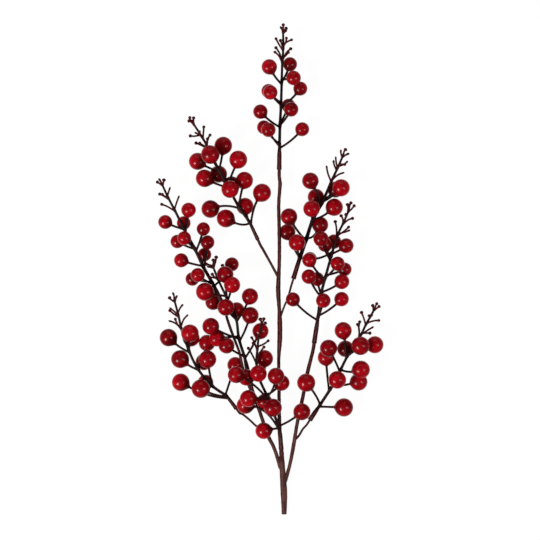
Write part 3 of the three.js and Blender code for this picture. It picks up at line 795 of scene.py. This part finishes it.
def lit_upwards(board):
    """Lets a board glow only towards what is right above it."""
    slant = board.node("ShaderNodeLayerWeight", inputs={"Blend": 0.5}, output="Facing")
    steep = board.step(slant, 0.15, 0.5, 1, 0)
    board.wear(Emission_Color=board.mix(steep, (0, 0, 0), (1, 1, 1)))
    return board


def finish_of(maker, *colours):
    """The finish of that name, made once from its colours."""
    return bpy.data.materials.get(maker.__name__) or maker(*map(tuple, colours))


def mouth_of(sprig):
    """Where a sprig's socket opens, and the direction from there into it."""
    mouth = Vector(sprig["twig"][0])
    return mouth, (Vector(sprig["twig"][1]) - mouth).normalized()


def sprig_named(name):
    """The entry of a sprig in the list."""
    return next(sprig for sprig in SPRIGS if sprig["name"] == name)


def route_into(points, sprig, past):
    """A stem's points with a straight end, past the socket's mouth by a length."""
    mouth, inward = mouth_of(sprig)
    return [*points, mouth - inward * LEAD, mouth - inward * GAP, mouth + inward * past]


def root_on(sprig, n, above):
    """The place on a twig that lies a length above its nth point, or below it."""
    points = [Vector(point) for point in sprig["twig"]]
    up = above > 0 and n < len(points) - 1
    away = points[n + 1] if up else points[n - 1]
    return points[n] + (away - points[n]).normalized() * abs(above)


def roots_of(sprig, n, count, spacing):
    """The foot of each of several stalks that leave a twig together."""
    return [root_on(sprig, n, (i - (count - 1) / 2) * spacing) for i in range(count)]


def rooted_berries(sprig):
    """Each berry of a sprig, after the place where its stalk leaves the twig."""
    for n, berries in sprig["whorls"].items():
        yield from zip(roots_of(sprig, n, len(berries), STALK_SPACING), berries)


def berry_radius(berry):
    """A berry's radius with its lacquer, in millimetres."""
    return berry[3] / 2 + LACQUER


def berry_centre(berry):
    """The middle of a berry, at the height where it rests if it is a low one."""
    x, y, z = berry[:3]
    return Vector((x, y, berry_radius(berry) if z == LOW else z))


def stalk_places(root, berry):
    """Places along a stalk, from the twig to the middle of its berry. It leaves the twig mostly
    sideways and turns up to the berry."""
    centre = berry_centre(berry)
    reach = centre - root
    bend = root + Vector((reach.x * 0.55, reach.y * 0.35, reach.z * 0.5))
    if len(berry) > 4:
        bend = Vector(berry[4])
    first = root.lerp(bend, 2 / 3)
    second = centre.lerp(bend, 2 / 3)
    return interpolate_bezier(root, first, second, centre, 17)


def neck_direction(root, berry):
    """From a berry's middle to the place where its stalk comes out of it."""
    centre = berry_centre(berry)
    radius = berry_radius(berry)
    for place in reversed(stalk_places(root, berry)):
        if (place - centre).length > radius:
            return (place - centre).normalized()
    return (root - centre).normalized()


def berry_body(radius, neck, depth):
    """A round berry about +Z that draws in to a short neck at its foot. Its mark "neck" rises to depth
    there, and the finish darkens the lacquer by it, partly as the lacquer's own colour and partly as
    painted shade."""
    # The berry is round from its top down to here, and a deep neck starts higher.
    lowest = math.radians(140 - 18 * depth)
    outline = []
    for i in range(15):
        angle = lowest * i / 14
        outline.append((math.sin(angle), math.cos(angle)))
    foot = Vector((*outline[-1], 0))
    tip = 1 + neck
    first = foot + Vector((foot.y, -foot.x, 0)) * 0.38
    second = Vector((0.17, -0.94 - 0.5 * neck, 0))
    drawn = interpolate_bezier(foot, first, second, Vector((0.15, -tip, 0)), 8)
    outline += [(place.x, place.y) for place in drawn[1:]]
    outline.append((0, -tip))
    axis = Path([(0, 0, radius), (0, 0, -radius * tip)])
    shape = sweep(axis, [((1 - z) * radius, x * radius) for x, z in outline], SIDES["berry"])
    layer = shape.verts.layers.float.new("neck")
    for vert in shape.verts:
        below = -vert.co.z / (radius * MM)
        vert[layer] = smooth((below - 0.2 + 0.3 * depth) / 0.85) * depth
    return shape


class SPRAY_OT_main_stem(bpy.types.Operator):
    """Wrap the main stem in tape round its core wire"""
    bl_idname = "spray.main_stem"
    bl_label = "Main stem"

    def execute(self, context):
        colours = context.scene.spray_colours
        sizes = context.scene.spray_sizes
        sprig = sprig_named("top_sprig")
        route = [point[:3] for point in MAIN_STEM]
        path = Path(route_into(route, sprig, PIN_DEPTH))
        end = path.length - PIN_DEPTH - TUCK
        marks = [path.mark(n) for n in range(len(MAIN_STEM))]

        def radius(distance):
            for n in range(len(marks) - 1):
                if distance <= marks[n + 1]:
                    share = (distance - marks[n]) / (marks[n + 1] - marks[n])
                    start, stop = MAIN_STEM[n][3] / 2, MAIN_STEM[n + 1][3] / 2
                    return start + (stop - start) * smooth(share)
            return MAIN_STEM[-1][3] / 2

        ridge = sizes.ridge / MM

        def wound(turn, distance):
            winding = (turn + distance / TAPE_PITCH) % 1
            lobes = math.cos(2 * math.pi * (3 * turn + distance / 70))
            strips = sum(depth * smooth((distance - place) / 0.8) for place, depth in TAPE_ENDS)
            near = sum(depth * swelling(distance, place - 2, 3) for place, depth in TAPE_ENDS)
            foot = smooth(distance / 3)
            return (ridge * winding + 0.11 * lobes) * foot - ridge / 2 - 0.4 * strips + near

        rings = [(2.5, 0), (2.5, BORE_RADIUS), (0, BORE_RADIUS)]
        rings += [(0, radius(0) - 0.35), (0.25, radius(0) - 0.1)]
        rings += [(distance, radius(distance)) for distance in steps(0.6, end - 0.8, 1.0)]
        rings += [(end - 0.3, radius(end) - 0.15), (end, radius(end) - 0.5), (end, 0)]
        piece = Piece("main_stem_tape")
        piece.add(sweep(path, rings, SIDES["stem"], wound))
        tape = finish_of(wound_tape, colours.tape, colours.flank)
        piece.finish("main_stem", "stem_tape", tape, 50)

        core = Piece("core_wire")
        rings = [(0, 0), (0, PIN_RADIUS - 0.12), (0.12, PIN_RADIUS)]
        rings += [(distance, PIN_RADIUS) for distance in steps(2, path.length - 0.4, 6)]
        rings += [(path.length, PIN_RADIUS - 0.3), (path.length, 0)]
        core.add(sweep(path, rings, SIDES["core"]))
        steel = finish_of(drawn_steel, colours.steel)
        core.finish("stem_core_wire", "core_steel", steel, 50)
        return {"FINISHED"}


class SPRAY_OT_branches(bpy.types.Operator):
    """Lay the taped branches and the coated wires"""
    bl_idname = "spray.branches"
    bl_label = "Branches and wires"

    def execute(self, context):
        colours = context.scene.spray_colours
        ridge = context.scene.spray_sizes.ridge / MM
        for branch in BRANCHES:
            path = Path(route_into(branch["route"], sprig_named(branch["to"]), PIN_DEPTH))
            end = path.length - PIN_DEPTH - TUCK
            radius = branch["diameter"] / 2
            taped = branch["diameter"] > TAPED

            def wound(turn, distance):
                if distance > end:
                    return 0
                grooves = math.cos(2 * math.pi * (2 * turn + distance / 38)) * radius * 0.05
                if not taped:
                    return grooves
                winding = (turn + distance / TAPE_PITCH) % 1
                return ridge * 0.8 * (winding - 0.5) + grooves

            rings = [(0, 0), (0.1, radius * 0.6), (0.8, radius)]
            rings += [(distance, radius) for distance in steps(1.5, end - 0.7, 1.0)]
            rings += [(end - 0.2, radius * 0.93), (end, max(radius * 0.8, PIN_RADIUS))]
            rings += [(end, PIN_RADIUS)] if radius > PIN_RADIUS else []
            rings += [(path.length - 0.3, PIN_RADIUS), (path.length, PIN_RADIUS - 0.3)]
            rings.append((path.length, 0))
            piece = Piece(f"{branch['name']}_{'tape' if taped else 'coat'}")
            piece.add(sweep(path, rings, SIDES["branch"], wound))
            if taped:
                tape = finish_of(wound_tape, colours.tape, colours.flank)
                piece.finish(branch["name"], "stem_tape", tape, 50)
            else:
                coating = finish_of(wire_coating, colours.wire, colours.flank)
                piece.finish(branch["name"], "branch_coating", coating, 50)
        return {"FINISHED"}


class SPRAY_OT_twigs(bpy.types.Operator):
    """Mould the nine twigs with their sockets and stalks"""
    bl_idname = "spray.twigs"
    bl_label = "Twigs and stalks"

    def execute(self, context):
        sizes = context.scene.spray_sizes
        colours = context.scene.spray_colours
        plastic = finish_of(
            moulded_twig, colours.twig, colours.berry, colours.tape, colours.flank)
        for sprig in SPRIGS:
            piece = Piece(f"{sprig['name']}_twig")
            piece.add(self.twig(sprig, sizes), red=0.0)
            for root, berry in rooted_berries(sprig):
                piece.add(self.stalk(root, berry, sizes), red=0.03, brown=0.0)
            piece.finish(sprig["name"], "berry_sprig", plastic)
        return {"FINISHED"}

    def twig(self, sprig, sizes):
        """A twig from the inside of its socket, over the lip and up to its tip."""
        mouth, inward = mouth_of(sprig)
        points = [mouth, mouth + inward * (PIN_DEPTH + 2), *sprig["twig"][1:]]
        path = Path(points)
        lowest = path.mark(2)
        socket = sprig.get("mouth", sizes.socket / MM) / 2
        foot = sprig.get("root", sizes.twig_root / MM) / 2
        tip = sizes.twig_tip / MM / 2
        whorls = [path.mark(n + 1) for n in sprig["whorls"]]
        forks = [path.mark(n + 1) for n in sprig["forks"]]

        def radius(distance):
            if distance < lowest:
                share = smooth((distance - lowest + 9) / 9)
                return socket - 0.35 * distance / lowest - (socket - 0.35 - foot) * share
            share = (distance - lowest) / (path.length - lowest)
            knots = sum(0.45 * swelling(distance, place, 2.6) for place in whorls)
            nodes = sum(0.3 * swelling(distance, place, 1.8) for place in forks)
            return foot + (tip - foot) * share + min(knots + nodes, 0.5)

        def ribs(turn, distance):
            low = 1 - smooth((distance - lowest + 8) / 6)
            ribbed = 0.05 * math.cos(2 * math.pi * (6 * turn + distance / 14))
            return ribbed * low * smooth(distance / 2)

        rings = [(4, 0), (4, BORE_RADIUS), (0.15, BORE_RADIUS), (0, BORE_RADIUS + 0.15)]
        rings += [(0, socket - 0.45), (0.15, socket - 0.2), (0.5, socket - 0.04)]
        rings += [(distance, radius(distance)) for distance in steps(1, path.length - 0.5, 1.1)]
        rings += [(path.length, tip * 0.7), (path.length + 0.3, 0)]
        shape = sweep(path, rings, SIDES["twig"], ribs)
        layer = shape.verts.layers.float.new("brown")
        for vert in shape.verts:
            above = (vert.co / MM - mouth).dot(inward)
            vert[layer] = 1 - smooth((above - lowest * 0.55) / (lowest * 0.45))
        return shape

    def stalk(self, root, berry, sizes):
        """A stalk from inside the twig to inside its berry."""
        path = Path(stalk_places(root, berry)[::2])
        end = path.length - berry_radius(berry) * 0.7
        foot = sizes.stalk_root / MM / 2
        top = sizes.stalk_top / MM / 2

        def radius(distance):
            share = distance / end
            return foot + (top - foot) * share ** 1.5 + 0.35 * swelling(distance, 0, 2.2)

        rings = [(0, 0)] + [(distance, radius(distance)) for distance in steps(0.05, end, 1.5)]
        rings.append((end + 0.1, 0))
        return sweep(path, rings, SIDES["stalk"])


class SPRAY_OT_berries(bpy.types.Operator):
    """Put a lacquered berry on every stalk"""
    bl_idname = "spray.berries"
    bl_label = "Berries"

    def execute(self, context):
        lacquer = finish_of(berry_lacquer, context.scene.spray_colours.berry)
        for sprig in SPRIGS:
            chance = random.Random(f"{SEED} {sprig['name']}")
            piece = Piece(f"{sprig['name']}_berries")
            for root, berry in rooted_berries(sprig):
                away = -neck_direction(root, berry)
                # Painted shade: a berry whose stalk leaves towards +X, the side away from the lights,
                # gets a deeper, darker neck.
                depth = min(chance.uniform(0.25, 0.65) + max(-away.x, 0) * 0.3, 1)
                shape = berry_body(berry_radius(berry), 0.02 + 0.2 * depth, depth)
                turn = away.to_track_quat("Z", "Y").to_matrix().to_4x4()
                place = Matrix.Translation(berry_centre(berry) * MM) @ turn
                bmesh.ops.transform(shape, matrix=place, verts=shape.verts)
                piece.add(shape, tint=chance.random())
            piece.finish(sprig["name"], "berry_sprig", lacquer)
        return {"FINISHED"}


class SPRAY_OT_buds(bpy.types.Operator):
    """Set the small buds at the forks and tips of the twigs"""
    bl_idname = "spray.buds"
    bl_label = "Buds"

    # How much larger a knob is at the twig's tip, and the usual share of slim knobs
    LAST_KNOB = 1.1
    SLIM_SHARE = 0.15
    # Where the rings of a knob lie along it
    KNOB_RINGS = (0.1, 0.2, 0.3, 0.4, 0.5, 0.6, 0.7, 0.79, 0.87, 0.93, 0.97, 0.99)

    def execute(self, context):
        colours = context.scene.spray_colours
        plastic = finish_of(
            moulded_twig, colours.twig, colours.berry, colours.tape, colours.flank)
        knob = context.scene.spray_sizes.bud / MM / 2
        for sprig in SPRIGS:
            chance = random.Random(f"{SEED} {sprig['name']} buds")
            piece = Piece(f"{sprig['name']}_buds")
            for n, buds in sprig["forks"].items():
                roots = roots_of(sprig, n, len(buds), BUD_SPACING)
                size = knob * (self.LAST_KNOB if n == max(sprig["forks"]) else 1)
                for root, tip in zip(roots, buds):
                    slim = chance.random() < sprig.get("slim", self.SLIM_SHARE)
                    shape = self.bud(root, Vector(tip), size, slim, chance)
                    piece.add(shape, red=chance.uniform(0.15, 0.5))
            piece.finish(sprig["name"], "berry_sprig", plastic)
        return {"FINISHED"}

    def bud(self, root, tip, knob, slim, chance):
        """A thin stalk with a rounded or a slim, pointed knob at its end."""
        along = tip - root
        sideways = along.cross(Vector((0, 0, 1))) * chance.uniform(-0.1, 0.1)
        path = Path([root, root.lerp(tip, 0.55) + sideways, tip])
        length = path.length
        reach = 4.8 if slim else 4.0
        size = knob * (chance.uniform(0.62, 0.72) if slim else chance.uniform(0.9, 1.15))

        def radius(distance):
            share = (distance - (length - reach)) / reach
            stalk = 0.95 + 0.25 * swelling(distance, 0, 1.8)
            if share <= 0:
                return stalk
            swollen = size * math.sin(math.pi * share ** 1.3) ** 0.6
            return max(stalk * (1 - share ** 3), swollen)

        rings = [(0, 0)]
        rings += [(distance, radius(distance)) for distance in steps(0.05, length - reach, 1.6)]
        for share in self.KNOB_RINGS:
            distance = length - reach * (1 - share)
            rings.append((distance, radius(distance)))
        rings.append((length, 0))
        return sweep(path, rings, SIDES["bud"])


class SPRAY_OT_stage(bpy.types.Operator):
    """Set up the pale floor, the soft lights and the camera straight above"""
    bl_idname = "spray.stage"
    bl_label = "Floor, lights and camera"

    # Each lamp's name, the direction it shines from, its distance and size in metres, and its watts
    LAMPS = [
        ("left_softbox", (-0.60, -0.42, 0.68), 2.5, (0.8, 0.8), 36.0),
        ("right_softbox", (0.66, -0.10, 0.74), 2.5, (0.5, 1.2), 11.0),
        ("far_softbox", (0.0, 0.93, 0.36), 3.0, (2.4, 1.6), 6.0),
    ]
    # The middle of the spray, and the camera's height above it, in metres
    CENTRE = Vector((0.001, -0.002, 0.012))
    CAMERA_HEIGHT = 4.5
    LENS = 300
    FLOOR_GLOW = 0.955
    BOARD_REACH = 12
    # The board that shows only in the berries' shine lies just under the floor.
    MIRRORED_GLOW = 0.7
    MIRRORED_DEPTH = 0.001
    SKY = 0.93
    SKY_STRENGTH = 0.3

    def board(self, name, depth, finish):
        """A wide flat board, at a depth under the spray in metres."""
        shape = bmesh.new()
        bmesh.ops.create_grid(shape, x_segments=1, y_segments=1, size=self.BOARD_REACH)
        bmesh.ops.translate(shape, vec=(0, 0, -depth), verts=shape.verts)
        mesh = bpy.data.meshes.new(name)
        shape.to_mesh(mesh)
        shape.free()
        mesh.materials.append(finish.material)
        board = bpy.data.objects.new(name, mesh)
        bpy.context.scene.collection.objects.link(board)
        return board

    def execute(self, context):
        scene = context.scene
        scene.view_settings.view_transform = "Standard"
        white = tuple(scene.spray_colours.floor)
        floor = self.board("floor", 0, white_surface("floor", white, self.FLOOR_GLOW))
        floor.visible_glossy = False
        glow = lit_upwards(white_surface("mirrored_floor", white, self.MIRRORED_GLOW))
        mirrored = self.board("mirrored_floor", self.MIRRORED_DEPTH, glow)
        mirrored.visible_camera = False
        mirrored.visible_diffuse = False
        mirrored.visible_shadow = False
        for name, direction, distance, size, power in self.LAMPS:
            lamp = bpy.data.lights.new(name, "AREA")
            lamp.shape = "RECTANGLE"
            lamp.size, lamp.size_y = size
            lamp.energy = power
            box = bpy.data.objects.new(name, lamp)
            box.location = self.CENTRE + Vector(direction).normalized() * distance
            box.rotation_euler = (box.location - self.CENTRE).to_track_quat("Z", "Y").to_euler()
            scene.collection.objects.link(box)
        world = bpy.data.worlds.new("studio")
        world.use_nodes = True
        sky = world.node_tree.nodes["Background"].inputs
        sky["Color"].default_value = (self.SKY, self.SKY, self.SKY, 1)
        sky["Strength"].default_value = self.SKY_STRENGTH
        world.cycles_visibility.glossy = False
        scene.world = world
        camera = bpy.data.cameras.new("camera")
        camera.sensor_width = 36
        camera.lens = self.LENS
        seat = bpy.data.objects.new("camera", camera)
        seat.location = self.CENTRE + Vector((0, 0, self.CAMERA_HEIGHT))
        scene.collection.objects.link(seat)
        scene.camera = seat
        return {"FINISHED"}


STEPS = (
    SPRAY_OT_main_stem, SPRAY_OT_branches, SPRAY_OT_twigs, SPRAY_OT_berries, SPRAY_OT_buds,
    SPRAY_OT_stage,
)


class SPRAY_PT_sidebar(bpy.types.Panel):
    """The steps that build the spray, with its sizes and colours"""
    bl_label = "Red berry spray"
    bl_idname = "SPRAY_PT_sidebar"
    bl_space_type = "VIEW_3D"
    bl_region_type = "UI"
    bl_category = "Spray"

    def draw(self, context):
        for group in (context.scene.spray_sizes, context.scene.spray_colours):
            box = self.layout.box()
            for name in group.__annotations__:
                box.prop(group, name)
        for step in STEPS:
            self.layout.operator(step.bl_idname)


CLASSES = (SpraySizes, SprayColours, *STEPS, SPRAY_PT_sidebar)


def register():
    for item in CLASSES:
        bpy.utils.register_class(item)
    bpy.types.Scene.spray_sizes = bpy.props.PointerProperty(type=SpraySizes)
    bpy.types.Scene.spray_colours = bpy.props.PointerProperty(type=SprayColours)


def unregister():
    del bpy.types.Scene.spray_colours
    del bpy.types.Scene.spray_sizes
    for item in reversed(CLASSES):
        bpy.utils.unregister_class(item)


def main():
    register()
    bpy.ops.spray.main_stem()
    bpy.ops.spray.branches()
    bpy.ops.spray.twigs()
    bpy.ops.spray.berries()
    bpy.ops.spray.buds()
    bpy.ops.spray.stage()


if __name__ == "__main__":
    main()
